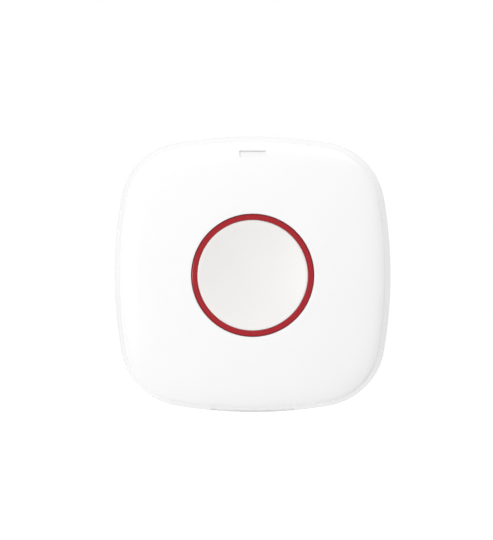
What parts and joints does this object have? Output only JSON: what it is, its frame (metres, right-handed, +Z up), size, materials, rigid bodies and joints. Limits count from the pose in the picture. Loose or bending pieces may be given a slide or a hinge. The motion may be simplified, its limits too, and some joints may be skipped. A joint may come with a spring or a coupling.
{
  "type": "wireless panic button",
  "caption": "Domed square wall button with soft corners, a concave white press cap in a red collar, an indicator window, and a clipped wall panel over a coin cell and radio board.",
  "frame": {"origin": "centre of the case on the plane of its flat back, where it meets the wall", "axes": "+X to the right seen from the front, +Y into the wall, +Z up; the button faces -Y"},
  "size_m": [0.062, 0.0165, 0.062],
  "materials": {
    "white_gloss": "glossy white, as moulded",
    "white_satin": "satin white, as moulded",
    "warm_white": "matt warm white",
    "red": "deep red, semi-gloss",
    "clear_white": "milky, lets light through",
    "lamp": "clear resin over a yellow chip",
    "board_green": "green solder mask",
    "black_plastic": "matt black",
    "white_plunger": "natural white",
    "ceramic": "tan ceramic with tinned ends",
    "resistor_black": "black film with tinned ends",
    "spring_steel": "bright spring wire",
    "tinned_steel": "tinned sheet and switch covers",
    "nickel_strip": "nickel-plated strip",
    "cell_steel": "brushed nickel-plated steel",
    "screw_steel": "zinc-plated steel"
  },
  "bodies": {
    "casing": {"front_cover": "white_gloss", "rear_cover": "white_satin", "return_spring": "spring_steel", "press_switch_body": "tinned_steel", "light_guide": "clear_white", "indicator_led": "lamp", "circuit_board": "board_green", "board_screws": "screw_steel", "coin_cell": "cell_steel", "cell_holder": "black_plastic", "cell_plus_clip": "nickel_strip", "cell_minus_leaf": "nickel_strip", "radio_board": "board_green", "radio_shield": "tinned_steel", "strip_antenna": "nickel_strip", "controller_chip": "black_plastic", "crystal": "tinned_steel", "capacitors": "ceramic", "resistors": "resistor_black", "tamper_switch_body": "black_plastic", "tamper_spring": "spring_steel", "pairing_switch_body": "tinned_steel"},
    "button": {"button_cap": "warm_white", "button_ring": "red", "button_carrier": "white_satin"},
    "press_plunger": {"press_switch_plunger": "black_plastic"},
    "tamper_plunger": {"tamper_switch_plunger": "white_plunger"},
    "pairing_plunger": {"pairing_switch_plunger": "black_plastic"}
  },
  "joints": [
    {"name": "button_press", "type": "slide", "parent": "casing", "child": "button", "axis": [0, 1, 0], "range_m": [0, 0.0009], "stiffness_N_per_m": 1500, "springref_m": -0.001, "deforming": ["return_spring"]},
    {"name": "press_switch_travel", "type": "slide", "parent": "casing", "child": "press_plunger", "axis": [0, 1, 0], "range_m": [0, 0.0003]},
    {"name": "tamper_travel", "type": "slide", "parent": "casing", "child": "tamper_plunger", "axis": [0, 1, 0], "range_m": [0, 0.0003], "stiffness_N_per_m": 1000, "springref_m": -0.0005, "deforming": ["tamper_spring"]},
    {"name": "pairing_travel", "type": "slide", "parent": "casing", "child": "pairing_plunger", "axis": [0, -1, 0], "range_m": [0, 0.00025], "stiffness_N_per_m": 3000, "springref_m": -0.0003}
  ],
  "couplings": [
    {"joint": "press_switch_travel", "follows": "button_press", "ratio": 0.33333}
  ]
}
